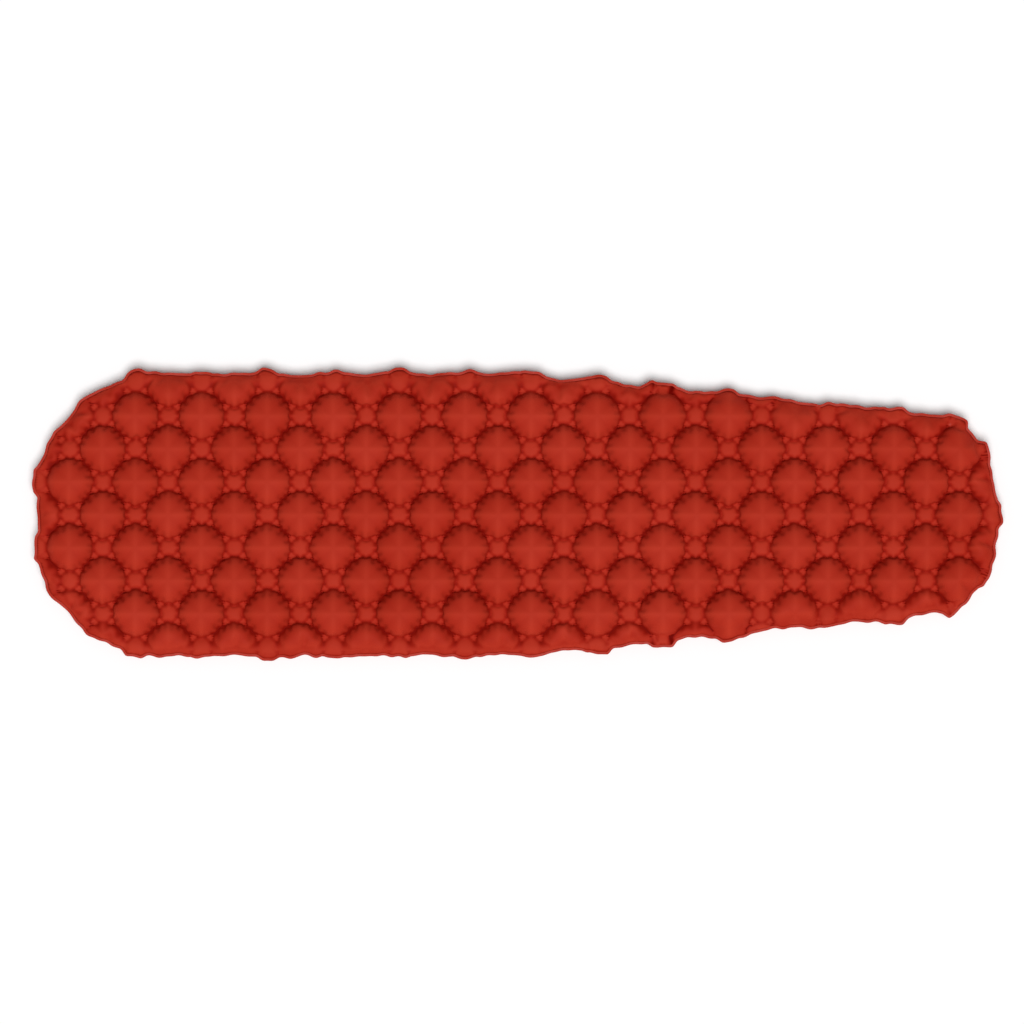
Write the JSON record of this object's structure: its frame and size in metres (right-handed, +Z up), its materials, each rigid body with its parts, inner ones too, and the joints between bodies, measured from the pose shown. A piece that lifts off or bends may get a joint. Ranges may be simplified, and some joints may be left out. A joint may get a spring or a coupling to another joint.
{
  "type": "inflatable sleeping pad",
  "caption": "Tapered inflatable sleeping pad with a quilt of air cells on both faces, a flat fused edge band and a two-stage flat valve under the edge near the head end.",
  "frame": {"origin": "under the middle of the inflated pad, on the plane that it rests on", "axes": "+X from the head end to the foot end, +Y across the pad, +Z up through its thickness"},
  "size_m": [1.9, 0.562, 0.0551],
  "materials": {
    "upper_fabric": "satin",
    "lower_fabric": "satin",
    "fused_coating": "satin",
    "valve_soft": "satin",
    "valve_lid": "satin",
    "valve_seat": "satin",
    "flap_silicone": "satin",
    "valve_cap": "satin",
    "gasket": "matte"
  },
  "bodies": {
    "lower": {"bottom_sheet": "lower_fabric", "cell_welds": "fused_coating", "edge_seam": "fused_coating", "valve_base": "valve_soft", "strap_ring": "valve_soft"},
    "upper": {"top_sheet": "upper_fabric"},
    "lid": {"deflation_lid": "valve_lid", "lid_gasket": "gasket", "one_way_seat": "valve_seat"},
    "flap": {"check_flap": "flap_silicone"},
    "cap": {"inflation_cap": "valve_cap", "cap_gasket": "gasket"}
  },
  "joints": [
    {"name": "air_give", "type": "slide", "parent": "lower", "child": "upper", "axis": [0, 0, -1], "range_m": [0, 0.022], "stiffness_N_per_m": 40000, "deforming": ["top_sheet"]},
    {"name": "lid_hinge", "type": "hinge", "parent": "lower", "child": "lid", "pos_m": [-0.6875, -0.27341, 0.02251], "axis": [-1, 0, 0], "range_deg": [0, 110]},
    {"name": "flap_lift", "type": "slide", "parent": "lid", "child": "flap", "axis": [0, 0.7071, 0.7071], "range_m": [0, 0.0015], "stiffness_N_per_m": 40},
    {"name": "cap_hinge", "type": "hinge", "parent": "lid", "child": "cap", "pos_m": [-0.6765, -0.26407, 0.00893], "axis": [0, -0.7071, 0.7071], "range_deg": [0, 120]}
  ]
}
